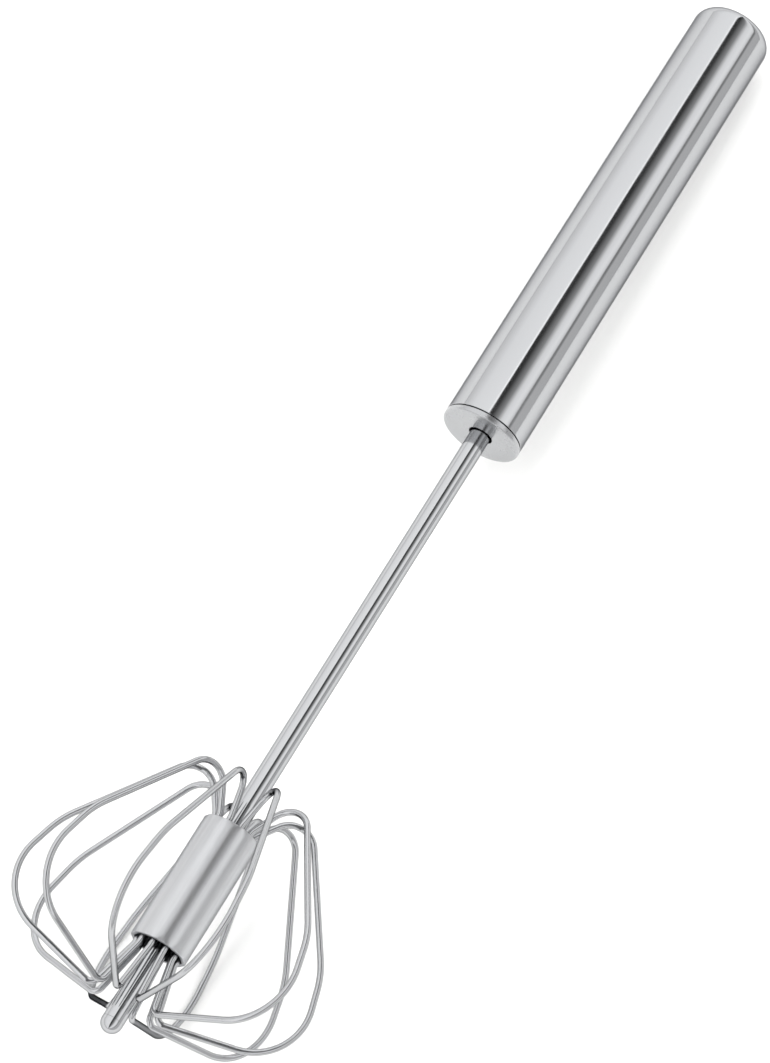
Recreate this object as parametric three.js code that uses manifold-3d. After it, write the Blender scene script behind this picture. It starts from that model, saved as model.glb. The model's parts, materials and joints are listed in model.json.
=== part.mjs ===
// Push-down whisk: a hand beater worked by pressing its handle.
//
// The tubular handle slides on a hollow shaft. A twisted flat strip hangs from the top of the
// handle and passes through the slot of a drive nut on top of the shaft, so pressing the handle
// down turns the shaft, the hub and the wire loops. A coil spring round the strip lifts the handle.
//
// Everything is built standing up, with +Z along the whisk's own axis and z = 0 at the foot of the
// shaft. The finished whisk is then laid down: it rests on two wire loops and on the top end of its
// handle, with the foot towards -X, the handle towards +X and the origin below its middle.
// All sizes are in millimetres.
import * as THREE from "three";
import { mergeVertices } from "three/addons/utils/BufferGeometryUtils.js";
import Module from "manifold-3d";

const wasm = await Module();
wasm.setup();

// Fits
const SEAT_GAP = 0.3; // between pieces that sit on, in or against each other
const RUNNING_CLEARANCE = 0.15; // between pieces that turn or slide in each other, on the radius
const SLOT_CLEARANCE = 0.2; // between the twisted strip and the slots that it passes through
const STRIP_ROOM = 0.55; // between the edges of the strip and the bore of the shaft
const SPRING_ROOM = 1.3; // between the coils and the neck of the nut

// Lengths along the axis
const FOOT_LENGTH = 22; // shaft that stands out below the hub
const HUB_LENGTH = 32;
const NECK_LENGTH = 115; // shaft between the hub and the handle, at rest
const HANDLE_LENGTH = 131;

// Handle
const HANDLE_DIAMETER = 20;
const HANDLE_WALL = 0.8;
const HANDLE_TOP_ROUNDING = 3.6;
const CAP_LIP_THICKNESS = 1.4;
const CAP_SPIGOT_LENGTH = 9;
const CAP_EDGE = 0.4;
const CAP_FACE_THICKNESS = 1.2; // of the face, in front of the bush
const CAP_FACE_CLEARANCE = 0.5; // between the face and the shaft, on the radius
const BUSH_WALL = 1.5;
const BUSH_FLANGE_WIDTH = 2;
const BUSH_FLANGE_THICKNESS = 1.2;
const BUFFER_THICKNESS = 2;

// Shaft and drive
const SHAFT_DIAMETER = 5.1;
const SHAFT_WALL = 0.5;
const FOOT_PLUG_RIM = 0.5; // straight side of the plug above its round end
const FOOT_PLUG_STEM = 4;
const STRIP_THICKNESS = 0.9;
const STRIP_CROWN = 0.06; // each flat side of the strip swells by this much in its middle
const STRIP_LEAD = 40; // height in which the strip turns once
const STRIP_TAIL = 6; // strip below the nut's slot, at rest
const NUT_WALL = 1.65;
const NUT_FLANGE_WIDTH = 2;
const NUT_FLANGE_THICKNESS = 3;
const NUT_SOCKET_DEPTH = 8; // how far the shaft reaches up into the nut
const NUT_CROWN = 4;
const SPRING_SEAT_RIM = 0.5; // of the spring seat beyond the coils
const SPRING_SEAT_THICKNESS = 2;
const SPRING_WIRE = 0.9;
const SPRING_TURNS = 16;
const ANCHOR_LENGTH = 9;
const ANCHOR_EDGE = 0.4;
const ANCHOR_PIN_DIAMETER = 1.2;
const ANCHOR_PIN_HEIGHT = 5; // above the underside of the anchor

// Hub and wire loops
const CORE_WALL = 1.15;
const CORE_RECESS = 3; // of the core behind each end of the sleeve
const HUB_WALL = 0.9;
const HUB_EDGE = 0.35;
const LOOP_COUNT = 10;
const LOOP_WIRE = 1.5;
const LEG_DEPTH = 11; // how far each leg of a loop reaches into the hub
const LEG_BEND = 3; // bend where a leg leaves the hub
const LEG_STANDOFF = 1.5; // from the end of the hub to the corner of that bend

// Corners of a wire loop before its bends: `out` from the ring of legs, `above` one end of the hub.
const LOOP_SHOULDER = { out: 8, above: 13.8, bend: 5.6 }; // from the top of the hub
const LOOP_FLANK = { out: 28.8, above: 14.3, bend: 22 }; // this and the next two: from its underside
const LOOP_BELLY = { out: 34.7, above: -7, bend: 13.5 };
const LOOP_HEEL = { out: 3.2, above: -14.6, bend: 2 };

// Facets
const SIDES_HANDLE = 40;
const SIDES_FITTING = 24;
const SIDES_WIRE = 8;
const SIDES_SPRING = 6;
const BEND_STEP = THREE.MathUtils.degToRad(12);
const TWIST_STEP = THREE.MathUtils.degToRad(9);
const SPRING_STEPS_PER_TURN = 10;
const ROUND_STEPS = 6; // of a quarter round in the outline of a turned piece

// Making
const WELD_DISTANCE = 1e-4; // corners closer than this are one corner
const CUT_OVERRUN = 1; // how far a slot's tool runs past the faces that it cuts
const HALVINGS = 40; // of the angle at which the whisk lies

// Places that follow from the sizes above
const shaftRadius = SHAFT_DIAMETER / 2;
const shaftBore = shaftRadius - SHAFT_WALL;
const shaftGuideBore = shaftRadius + RUNNING_CLEARANCE;
const footShoulder = shaftRadius + FOOT_PLUG_RIM;
const shaftBottom = footShoulder + SEAT_GAP;
const hubBottom = FOOT_LENGTH;
const hubTop = hubBottom + HUB_LENGTH;
const handleBottom = hubTop + NECK_LENGTH;
const handleTop = handleBottom + HANDLE_LENGTH;
const handleRadius = HANDLE_DIAMETER / 2;
const handleBore = handleRadius - HANDLE_WALL;
const spigotTop = handleBottom + CAP_LIP_THICKNESS + CAP_SPIGOT_LENGTH;
const bushRadius = shaftGuideBore + BUSH_WALL;
const bushFlangeRadius = bushRadius + BUSH_FLANGE_WIDTH;
const bushFlangeBottom = spigotTop + SEAT_GAP;
const bushFlangeTop = bushFlangeBottom + BUSH_FLANGE_THICKNESS;
const bufferBottom = bushFlangeTop + SEAT_GAP;
const bufferTop = bufferBottom + BUFFER_THICKNESS;
const nutBottom = bufferTop + SEAT_GAP;
const nutShoulder = nutBottom + NUT_FLANGE_THICKNESS;
const nutSocketTop = nutBottom + NUT_SOCKET_DEPTH;
const nutTop = nutSocketTop + NUT_CROWN;
const nutSocket = shaftRadius + SEAT_GAP;
const nutNeckRadius = nutSocket + NUT_WALL;
const nutFlangeRadius = nutNeckRadius + NUT_FLANGE_WIDTH;
const shaftTop = nutSocketTop - SEAT_GAP;
const springRadius = nutNeckRadius + SPRING_ROOM + SPRING_WIRE / 2; // to the middle of the wire
const springSeatRadius = springRadius + SPRING_WIRE / 2 + SPRING_SEAT_RIM;
const springSeatBottom = nutShoulder + SEAT_GAP;
const springSeatTop = springSeatBottom + SPRING_SEAT_THICKNESS;
const anchorTop = handleTop - HANDLE_TOP_ROUNDING - SEAT_GAP;
const anchorBottom = anchorTop - ANCHOR_LENGTH;
const stripBottom = nutSocketTop - STRIP_TAIL;
const stripTop = anchorTop - ANCHOR_EDGE;
const stripHalfWidth = shaftBore - STRIP_ROOM;

// The hub from the inside out: the shaft, the core, the ring of legs and the sleeve.
const coreBore = shaftRadius + SEAT_GAP;
const coreRadius = coreBore + CORE_WALL;
const legRadius = coreRadius + SEAT_GAP + LOOP_WIRE / 2;
const hubBore = legRadius + LOOP_WIRE / 2 + SEAT_GAP;
const hubRadius = hubBore + HUB_WALL;

// Finishes
const FINISHES = {
  polishedSteel: { color: 0xc9cbcd, roughness: 0.12, metalness: 1 },
  satinSteel: { color: 0xb9babb, roughness: 0.35, metalness: 1 },
  springSteel: { color: 0x9a9b9d, roughness: 0.3, metalness: 1 },
  blackNylon: { color: 0x1c1c1e, roughness: 0.55, metalness: 0 },
  whiteAcetal: { color: 0xe6e4de, roughness: 0.45, metalness: 0 },
  rubber: { color: 0x2a2a2b, roughness: 0.85, metalness: 0 },
};

function piece(name, geometry, finish) {
  const mesh = new THREE.Mesh(geometry, new THREE.MeshStandardMaterial(FINISHES[finish]));
  mesh.name = name;
  return mesh;
}

// Triangles of a geometry with shared corners merged and collapsed triangles left out.
function weld(geometry) {
  const bare = geometry.clone();
  bare.deleteAttribute("normal");
  bare.deleteAttribute("uv");
  const merged = mergeVertices(bare, WELD_DISTANCE);
  const corners = merged.index.array;
  const kept = [];
  for (let i = 0; i < corners.length; i += 3) {
    const [a, b, c] = [corners[i], corners[i + 1], corners[i + 2]];
    if (a !== b && b !== c && c !== a) kept.push(a, b, c);
  }
  merged.setIndex(kept);
  merged.computeVertexNormals();
  return merged;
}

function toSolid(geometry) {
  const welded = weld(geometry);
  const mesh = new wasm.Mesh({
    numProp: 3,
    vertProperties: new Float32Array(welded.attributes.position.array),
    triVerts: new Uint32Array(welded.index.array),
  });
  return new wasm.Manifold(mesh);
}

function toGeometry(solid) {
  const mesh = solid.getMesh();
  const geometry = new THREE.BufferGeometry();
  geometry.setAttribute("position", new THREE.BufferAttribute(mesh.vertProperties, 3));
  geometry.setIndex(new THREE.BufferAttribute(mesh.triVerts, 1));
  geometry.computeVertexNormals();
  return geometry;
}

function cut(geometry, ...tools) {
  let solid = toSolid(geometry);
  for (const tool of tools) solid = solid.subtract(toSolid(tool));
  return toGeometry(solid);
}

// A turned piece. The outline is a list of [r, z], up the outside and down the inside.
function turned(outline, sides) {
  const points = outline.map(([r, z]) => new THREE.Vector2(r, z));
  return weld(new THREE.LatheGeometry(points, sides).rotateX(Math.PI / 2));
}

// A turned piece with a hole through it closes its outline on its first point.
function turnedRing(outline, sides) {
  return turned([...outline, outline[0]], sides);
}

// Points of a quarter round from angle `from` to angle `to`, both in degrees, about [r, z].
function arc(r, z, radius, from, to, steps) {
  const points = [];
  for (let i = 0; i <= steps; i += 1) {
    const angle = THREE.MathUtils.degToRad(from + ((to - from) * i) / steps);
    points.push([r + radius * Math.cos(angle), z + radius * Math.sin(angle)]);
  }
  return points;
}

// A path whose stations are chosen points, so that a swept piece has steps only where it bends.
class StationPath extends THREE.Curve {
  constructor(stations) {
    super();
    this.stations = stations;
  }

  getPoint(t, target = new THREE.Vector3()) {
    const last = this.stations.length - 1;
    const place = Math.min(Math.max(t, 0), 1) * last;
    const before = Math.min(Math.floor(place), last - 1);
    return target.lerpVectors(this.stations[before], this.stations[before + 1], place - before);
  }

  getPointAt(u, target) {
    return this.getPoint(u, target);
  }

  getTangentAt(u, target = new THREE.Vector3()) {
    const last = this.stations.length - 1;
    const here = Math.round(u * last);
    const before = this.stations[Math.max(here - 1, 0)];
    const after = this.stations[Math.min(here + 1, last)];
    const at = this.stations[here];
    if (here > 0) target.copy(at).sub(before).normalize();
    else target.set(0, 0, 0);
    if (here < last) target.add(after.clone().sub(at).normalize());
    return target.normalize();
  }
}

// A round bar of the given diameter along a list of stations.
function bar(stations, diameter, sides) {
  const section = new THREE.Shape();
  for (let i = 0; i < sides; i += 1) {
    const angle = (2 * Math.PI * (i + 0.5)) / sides;
    const [x, y] = [(diameter / 2) * Math.cos(angle), (diameter / 2) * Math.sin(angle)];
    if (i === 0) section.moveTo(x, y);
    else section.lineTo(x, y);
  }
  section.closePath();
  const path = new StationPath(stations);
  const options = { steps: stations.length - 1, extrudePath: path, bevelEnabled: false };
  return weld(new THREE.ExtrudeGeometry(section, options));
}

// Stations along straight stretches between corners, each corner rounded to its own bend.
// Corners are {x, y, bend}; the two ends have no bend.
function bentPath(corners) {
  const at = (corner) => new THREE.Vector2(corner.x, corner.y);
  const stations = [at(corners[0])];
  for (let i = 1; i < corners.length - 1; i += 1) {
    const corner = at(corners[i]);
    const back = at(corners[i - 1]).sub(corner).normalize();
    const on = at(corners[i + 1]).sub(corner).normalize();
    const half = Math.acos(THREE.MathUtils.clamp(back.dot(on), -1, 1)) / 2;
    const radius = corners[i].bend;
    const centre = corner
      .clone()
      .addScaledVector(back.clone().add(on).normalize(), radius / Math.sin(half));
    const start = corner.clone().addScaledVector(back, radius / Math.tan(half)).sub(centre);
    const turn = Math.sign(back.cross(on)) * -1 * (Math.PI - 2 * half);
    const steps = Math.max(2, Math.ceil(Math.abs(turn) / BEND_STEP));
    for (let k = 0; k <= steps; k += 1) {
      const spoke = start.clone().rotateAround(new THREE.Vector2(), (turn * k) / steps);
      stations.push(spoke.add(centre));
    }
  }
  stations.push(at(corners[corners.length - 1]));
  return stations;
}

// The twisted flat bar, from height `bottom` to `top`, grown by `margin` on every side.
// Its width lies along X at z = 0 and turns right-handed with height.
function twistedBar(bottom, top, margin) {
  const x = stripHalfWidth + margin;
  const y = STRIP_THICKNESS / 2 + margin;
  const crown = y + STRIP_CROWN;
  const section = new THREE.Shape();
  section.moveTo(-x, -y);
  section.lineTo(0, -crown);
  section.lineTo(x, -y);
  section.lineTo(x, y);
  section.lineTo(0, crown);
  section.lineTo(-x, y);
  section.closePath();
  const depth = top - bottom;
  const twist = (2 * Math.PI) / STRIP_LEAD;
  const steps = Math.ceil((depth * twist) / TWIST_STEP);
  const geometry = new THREE.ExtrudeGeometry(section, { depth, steps, bevelEnabled: false });
  geometry.translate(0, 0, bottom);
  const position = geometry.attributes.position;
  const point = new THREE.Vector3();
  const up = new THREE.Vector3(0, 0, 1);
  for (let i = 0; i < position.count; i += 1) {
    point.fromBufferAttribute(position, i);
    point.applyAxisAngle(up, point.z * twist);
    position.setXYZ(i, point.x, point.y, point.z);
  }
  return weld(geometry);
}

// ---- Handle ----

function handleTube() {
  const bottom = handleBottom + CAP_LIP_THICKNESS + SEAT_GAP;
  const bend = handleTop - HANDLE_TOP_ROUNDING;
  const outer = HANDLE_TOP_ROUNDING;
  const inner = HANDLE_TOP_ROUNDING - HANDLE_WALL;
  const centre = handleRadius - HANDLE_TOP_ROUNDING;
  const outerRound = arc(centre, bend, outer, 0, 90, ROUND_STEPS);
  const innerRound = arc(centre, bend, inner, 90, 0, ROUND_STEPS);
  const outside = [[handleRadius, bottom], ...outerRound, [0, handleTop]];
  const inside = [[0, handleTop - HANDLE_WALL], ...innerRound, [handleBore, bottom]];
  return turnedRing([...outside, ...inside], SIDES_HANDLE);
}

function endCap() {
  const bore = bushRadius + SEAT_GAP;
  const faceBore = shaftRadius + CAP_FACE_CLEARANCE;
  const faceTop = handleBottom + CAP_FACE_THICKNESS;
  const spigot = handleBore - SEAT_GAP;
  const lipTop = handleBottom + CAP_LIP_THICKNESS;
  return turnedRing(
    [
      [faceBore, handleBottom],
      [handleRadius - CAP_EDGE, handleBottom],
      [handleRadius, handleBottom + CAP_EDGE],
      [handleRadius, lipTop],
      [spigot, lipTop],
      [spigot, spigotTop - CAP_EDGE],
      [spigot - CAP_EDGE, spigotTop],
      [bore, spigotTop],
      [bore, faceTop],
      [faceBore, faceTop],
    ],
    SIDES_HANDLE,
  );
}

function shaftBush() {
  const bottom = handleBottom + CAP_FACE_THICKNESS + SEAT_GAP;
  return turnedRing(
    [
      [shaftGuideBore, bottom],
      [bushRadius, bottom],
      [bushRadius, bushFlangeBottom],
      [bushFlangeRadius, bushFlangeBottom],
      [bushFlangeRadius, bushFlangeTop],
      [shaftGuideBore, bushFlangeTop],
    ],
    SIDES_FITTING,
  );
}

// A plain washer round the shaft's axis.
function washer(bore, radius, bottom, top) {
  return turnedRing(
    [
      [bore, bottom],
      [radius, bottom],
      [radius, top],
      [bore, top],
    ],
    SIDES_FITTING,
  );
}

// A cross pin through the anchor and the strip, square to the flat of the strip at that height.
function anchorPin(radius, length) {
  const height = anchorBottom + ANCHOR_PIN_HEIGHT;
  const twist = (2 * Math.PI * height) / STRIP_LEAD;
  const pin = new THREE.CylinderGeometry(radius, radius, length, SIDES_FITTING / 2);
  return weld(pin.rotateZ(twist).translate(0, 0, height));
}

function stripAnchor() {
  const radius = handleBore - SEAT_GAP;
  const plug = turned(
    [
      [0, anchorBottom],
      [radius, anchorBottom],
      [radius, anchorTop - ANCHOR_EDGE],
      [radius - ANCHOR_EDGE, anchorTop],
      [0, anchorTop],
    ],
    SIDES_FITTING,
  );
  const slot = twistedBar(anchorBottom - CUT_OVERRUN, anchorTop + CUT_OVERRUN, SLOT_CLEARANCE);
  const hole = anchorPin(ANCHOR_PIN_DIAMETER / 2 + SLOT_CLEARANCE, 2 * HANDLE_DIAMETER);
  return cut(plug, slot, hole);
}

function driveStrip() {
  const hole = anchorPin(ANCHOR_PIN_DIAMETER / 2 + SLOT_CLEARANCE, 4 * STRIP_THICKNESS);
  return cut(twistedBar(stripBottom, stripTop, 0), hole);
}

function returnSpring() {
  const bottom = springSeatTop + SEAT_GAP + SPRING_WIRE / 2;
  const top = anchorBottom - SEAT_GAP - SPRING_WIRE / 2;
  const steps = SPRING_TURNS * SPRING_STEPS_PER_TURN;
  const stations = [];
  for (let i = 0; i <= steps; i += 1) {
    const angle = (2 * Math.PI * i) / SPRING_STEPS_PER_TURN;
    const height = bottom + ((top - bottom) * i) / steps;
    const [x, y] = [springRadius * Math.cos(angle), springRadius * Math.sin(angle)];
    stations.push(new THREE.Vector3(x, y, height));
  }
  return bar(stations, SPRING_WIRE, SIDES_SPRING);
}

// ---- Shaft, nut and foot ----

function driveNut() {
  const blank = turned(
    [
      [0, nutSocketTop],
      [nutSocket, nutSocketTop],
      [nutSocket, nutBottom],
      [nutFlangeRadius, nutBottom],
      [nutFlangeRadius, nutShoulder],
      [nutNeckRadius, nutShoulder],
      [nutNeckRadius, nutTop],
      [0, nutTop],
    ],
    SIDES_FITTING,
  );
  const slot = twistedBar(nutSocketTop - CUT_OVERRUN, nutTop + CUT_OVERRUN, SLOT_CLEARANCE);
  return cut(blank, slot);
}

function footPlug() {
  const stem = shaftBore - SEAT_GAP;
  const dome = arc(0, shaftRadius, shaftRadius, -90, 0, ROUND_STEPS);
  const stemTop = footShoulder + FOOT_PLUG_STEM;
  const outline = [...dome, [shaftRadius, footShoulder], [stem, footShoulder], [stem, stemTop]];
  return turned([...outline, [0, stemTop]], SIDES_FITTING);
}

// ---- Hub and wires ----

function hubSleeve() {
  return turnedRing(
    [
      [hubBore, hubBottom],
      [hubRadius - HUB_EDGE, hubBottom],
      [hubRadius, hubBottom + HUB_EDGE],
      [hubRadius, hubTop - HUB_EDGE],
      [hubRadius - HUB_EDGE, hubTop],
      [hubBore, hubTop],
    ],
    SIDES_HANDLE,
  );
}

function wireLoop(index) {
  const corner = ({ out, above, bend }, end) => ({ x: legRadius + out, y: end + above, bend });
  const corners = [
    { x: legRadius, y: hubTop - LEG_DEPTH },
    { x: legRadius, y: hubTop + LEG_STANDOFF, bend: LEG_BEND },
    corner(LOOP_SHOULDER, hubTop),
    corner(LOOP_FLANK, hubBottom),
    corner(LOOP_BELLY, hubBottom),
    corner(LOOP_HEEL, hubBottom),
    { x: legRadius, y: hubBottom - LEG_STANDOFF, bend: LEG_BEND },
    { x: legRadius, y: hubBottom + LEG_DEPTH },
  ];
  const stations = bentPath(corners).map(({ x, y }) => new THREE.Vector3(x, 0, y));
  // Two neighbouring loops stand an equal angle to each side of +X, which ends up underneath.
  const angle = (2 * Math.PI * (index + 0.5)) / LOOP_COUNT;
  return bar(stations, LOOP_WIRE, SIDES_WIRE).rotateZ(angle);
}

const handle = piece("handle_tube", handleTube(), "polishedSteel");
const buffer = washer(shaftGuideBore, bushFlangeRadius, bufferBottom, bufferTop);
const pin = anchorPin(ANCHOR_PIN_DIAMETER / 2, 2 * (handleBore - 2 * SEAT_GAP));
const seatBore = nutNeckRadius + RUNNING_CLEARANCE;
const seat = washer(seatBore, springSeatRadius, springSeatBottom, springSeatTop);
const core = washer(coreBore, coreRadius, hubBottom + CORE_RECESS, hubTop - CORE_RECESS);
const loops = [];
for (let i = 0; i < LOOP_COUNT; i += 1) {
  loops.push(piece(`wire_loop_${i + 1}`, wireLoop(i), "polishedSteel"));
}

const whisk = new THREE.Group();
whisk.add(
  handle,
  piece("end_cap", endCap(), "polishedSteel"),
  piece("shaft_bush", shaftBush(), "blackNylon"),
  piece("buffer_washer", buffer, "rubber"),
  piece("strip_anchor", stripAnchor(), "whiteAcetal"),
  piece("anchor_pin", pin, "springSteel"),
  piece("drive_strip", driveStrip(), "springSteel"),
  piece("return_spring", returnSpring(), "springSteel"),
  piece("spring_seat", seat, "blackNylon"),
  piece("drive_nut", driveNut(), "whiteAcetal"),
  piece("shaft_tube", washer(shaftBore, shaftRadius, shaftBottom, shaftTop), "polishedSteel"),
  piece("foot_plug", footPlug(), "polishedSteel"),
  piece("hub_sleeve", hubSleeve(), "satinSteel"),
  piece("hub_core", core, "satinSteel"),
  ...loops,
);

// ---- Laying the whisk down ----

// Turns +Z towards +X and down by `droop`, which brings the loops beside +X underneath.
function lying(droop) {
  return new THREE.Matrix4().makeRotationY(Math.PI / 2 + droop);
}

function lowest(meshes, matrix) {
  const point = new THREE.Vector3();
  let least = Infinity;
  for (const mesh of meshes) {
    const position = mesh.geometry.attributes.position;
    for (let i = 0; i < position.count; i += 1) {
      least = Math.min(least, point.fromBufferAttribute(position, i).applyMatrix4(matrix).z);
    }
  }
  return least;
}

// The droop at which the loops and the handle reach equally low, found by halving.
function restingDroop() {
  let [low, high] = [0, Math.PI / 6];
  for (let i = 0; i < HALVINGS; i += 1) {
    const middle = (low + high) / 2;
    const laid = lying(middle);
    if (lowest(loops, laid) < lowest([handle], laid)) low = middle;
    else high = middle;
  }
  return (low + high) / 2;
}

whisk.applyMatrix4(lying(restingDroop()));
const bounds = new THREE.Box3().setFromObject(whisk, true);
const middle = bounds.getCenter(new THREE.Vector3());
whisk.position.sub(new THREE.Vector3(middle.x, middle.y, bounds.min.z));

const eggBeater = new THREE.Group();
eggBeater.name = "egg_beater";
eggBeater.add(whisk);

export default eggBeater;
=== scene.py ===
"""Push-down egg beater: its fine surfaces, its finishes, a plain studio and a camera.

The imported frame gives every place. Pieces are made in the whisk's own frame, with Z along its axis
from the foot to the handle and X down towards the table, and are then put in the row frame.
"""

import json
import math

import bmesh
import bpy
from mathutils import Matrix, Vector


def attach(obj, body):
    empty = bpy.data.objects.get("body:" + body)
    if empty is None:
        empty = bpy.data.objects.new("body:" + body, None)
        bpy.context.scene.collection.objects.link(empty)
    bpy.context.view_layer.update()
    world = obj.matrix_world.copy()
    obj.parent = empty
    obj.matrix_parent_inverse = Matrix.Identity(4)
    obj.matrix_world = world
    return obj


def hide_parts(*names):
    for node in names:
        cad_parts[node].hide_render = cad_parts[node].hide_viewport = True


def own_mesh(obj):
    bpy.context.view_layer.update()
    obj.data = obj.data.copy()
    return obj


bl_info = {
    "name": "Push-Down Egg Beater",
    "version": (1, 0, 0),
    "blender": (4, 5, 0),
    "location": "3D View > Sidebar > Egg Beater",
    "description": "Builds the surfaces, finishes and studio of a push-down egg beater",
    "category": "Object",
}

MM = 0.001
LEVEL_DIGITS = 5  # heights that agree to a hundredth of a millimetre are one level
WELD_DISTANCE = 0.002 * MM
SEGMENTS = 128  # round a turned piece that shows
SEGMENTS_INSIDE = 64  # round one that the handle hides
ROUND_STEP = math.radians(9)
BEND_STEP = math.radians(4)
SHARP_ANGLE = math.radians(32)
STEP_TOLERANCE = 0.1 * MM  # radii that differ by more than this belong to different steps

# Facets of the pieces that are not plainly turned
SLEEVE_SEGMENTS = 240
CRIMP_STAGES = 8
PIN_SEGMENTS = 32
WIRE_SIDES = 20
SPRING_SIDES = 12
SPRING_POINTS = 1025
STRIP_STEPS_PER_TURN = 120

# Small sizes that no setting changes
CLOSE_COIL_PITCH = 1.06  # of the spring's end coils, in wire diameters
PIN_HOLE_CLEARANCE = 0.2 * MM
SHAFT_EDGE = 0.12 * MM
FOOT_JOINT_EDGE = 0.03 * MM  # the shaft meets its foot in a hairline
FOOT_STEM_EDGE = 0.15 * MM
SLEEVE_EDGE = 0.25 * MM
CORE_EDGE = 0.2 * MM

# Edge colours of the steels, set dark to paint shade at grazing angles: a polished edge darkens, and a
# thin wire's flanks most of all.
PAINTED_EDGE_SHADE = (0.3, 0.3, 0.31, 1)
PAINTED_WIRE_FLANK_SHADE = (0.03, 0.03, 0.03, 1)

# Corners of a wire loop before its bends, in millimetres: out from the ring of legs, above one end
# of the hub, and the bend. The shoulder is measured from the hub's top, the rest from its underside.
LEG_STANDOFF = 1.5
LEG_BEND = 3
SHOULDER = (8, 13.8, 5.6)
FLANK = (28.8, 14.3, 22)
BELLY = (34.5, -7, 13.5)
HEEL = (3.2, -14.6, 2)

# Studio, in metres and watts
FLOOR_HALF_WIDTH = 3.0
FLOOR_CELLS = 8
LAMP_SIZE = 2.6
LAMP_POWER = 30
LAMP_PLACE = (0.0, 0.1, 1.7)
SENSOR_WIDTH = 36  # millimetres
NEAREST_SEEN = 0.01
FARTHEST_SEEN = 100

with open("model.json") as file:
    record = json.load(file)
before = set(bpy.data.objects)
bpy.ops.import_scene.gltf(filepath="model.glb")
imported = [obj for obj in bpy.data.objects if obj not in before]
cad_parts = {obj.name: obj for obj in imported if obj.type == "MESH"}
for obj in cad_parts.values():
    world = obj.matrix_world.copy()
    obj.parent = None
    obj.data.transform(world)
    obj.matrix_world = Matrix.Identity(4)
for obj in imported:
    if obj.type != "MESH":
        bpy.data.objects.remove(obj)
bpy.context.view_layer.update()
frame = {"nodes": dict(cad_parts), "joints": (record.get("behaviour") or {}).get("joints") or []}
JOINTS = {joint["name"]: joint for joint in frame["joints"]}
AXIS = Vector(JOINTS["press"]["axis"]).normalized()
SIDE = Vector((0, 1, 0))
DOWN = SIDE.cross(AXIS)


def columns(a, b, c):
    """The matrix with these three columns."""
    return Matrix((a, b, c)).transposed()


def whisk_frame():
    """The whisk's own frame in the row frame, with its origin at the foot's lowest point."""
    on_axis = Vector(JOINTS["spin"]["pos_m"])
    foot = min((v.co - on_axis).dot(AXIS) for v in frame["nodes"]["foot_plug"].data.vertices)
    return Matrix.Translation(on_axis + AXIS * foot) @ columns(DOWN, SIDE, AXIS).to_4x4()


WHISK = whisk_frame()
TO_WHISK = WHISK.inverted()


def corners_of(node):
    """The corners of a CAD node in the whisk's frame."""
    return [TO_WHISK @ v.co for v in frame["nodes"][node].data.vertices]


def levels(node):
    """Each height at which a CAD node has corners, lowest first: (height, least radius, greatest)."""
    found = {}
    for corner in corners_of(node):
        radius = math.hypot(corner.x, corner.y)
        found.setdefault(round(corner.z, LEVEL_DIGITS), []).append(radius)
    return [(height, min(radii), max(radii)) for height, radii in sorted(found.items())]


# ---- Settings ----


def length(name, description, millimetres):
    """A length setting, given in millimetres."""
    return bpy.props.FloatProperty(
        name=name,
        description=description,
        default=millimetres * MM,
        precision=5,
        unit="LENGTH",
    )


def angle(name, description, degrees):
    """An angle setting, given in degrees."""
    return bpy.props.FloatProperty(
        name=name, description=description, default=math.radians(degrees), unit="ROTATION"
    )


def number(name, description, default):
    """A plain number setting."""
    return bpy.props.FloatProperty(name=name, description=description, default=default)


def count(name, description, default):
    """A whole number setting."""
    return bpy.props.IntProperty(name=name, description=description, default=default, min=1)


def colour(name, description, code):
    """A colour setting, given as an sRGB hex code."""
    return bpy.props.FloatVectorProperty(
        name=name,
        description=description,
        default=linear(code),
        size=3,
        min=0,
        max=1,
        subtype="COLOR",
    )


def linear(code):
    """Linear red, green and blue from an sRGB hex code."""
    parts = [int(code[i : i + 2], 16) / 255 for i in (0, 2, 4)]
    return tuple(p / 12.92 if p <= 0.04045 else ((p + 0.055) / 1.055) ** 2.4 for p in parts)


class HandleSettings(bpy.types.PropertyGroup):
    """The handle tube, its end cap and the bush in it."""

    top_rounding: length("Top rounding", "Rounding of the closed end of the tube", 3.6)
    edge_rounding: length("Edge rounding", "Rounding of the edges of the tube and cap", 0.3)
    face_dish: length("Face dish", "How far the face of the end cap is dished", 0.18)
    steel: colour("Steel", "Colour of the polished steel", "B6B7B9")
    face: colour("Face", "Colour of the faced end of the cap", "AEAFB1")


class DriveSettings(bpy.types.PropertyGroup):
    """What the handle hides: strip, nut, anchor and spring."""

    strip_thickness: length("Strip thickness", "Thickness of the twisted strip", 0.9)
    strip_lead: length("Strip lead", "Height in which the strip turns once", 40)
    spring_wire: length("Spring wire", "Diameter of the spring's wire", 0.9)
    spring_turns: count("Spring turns", "Turns of the spring", 16)
    edge_rounding: length("Edge rounding", "Rounding of the moulded edges", 0.2)


class HubSettings(bpy.types.PropertyGroup):
    """The sleeve that holds the wires, and the core in it."""

    crimp_length: length("Crimp length", "Length of each crimped end of the sleeve", 1.8)
    crimp_depth: length("Crimp depth", "How far the rim is pressed in between two wires", 0.2)
    steel: colour("Steel", "Colour of the satin steel", "C2C3C5")


class LoopSettings(bpy.types.PropertyGroup):
    """The ring of wire loops."""

    loops: count("Loops", "Wire loops round the hub", 10)
    wire: length("Wire", "Diameter of the wire", 1.5)
    ring: length("Ring", "Radius of the ring on which the legs stand", 5.05)
    leg_depth: length("Leg depth", "How far each leg reaches into the hub", 11)
    steel: colour("Steel", "Colour of the drawn steel wire", "B6B7B9")


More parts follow.
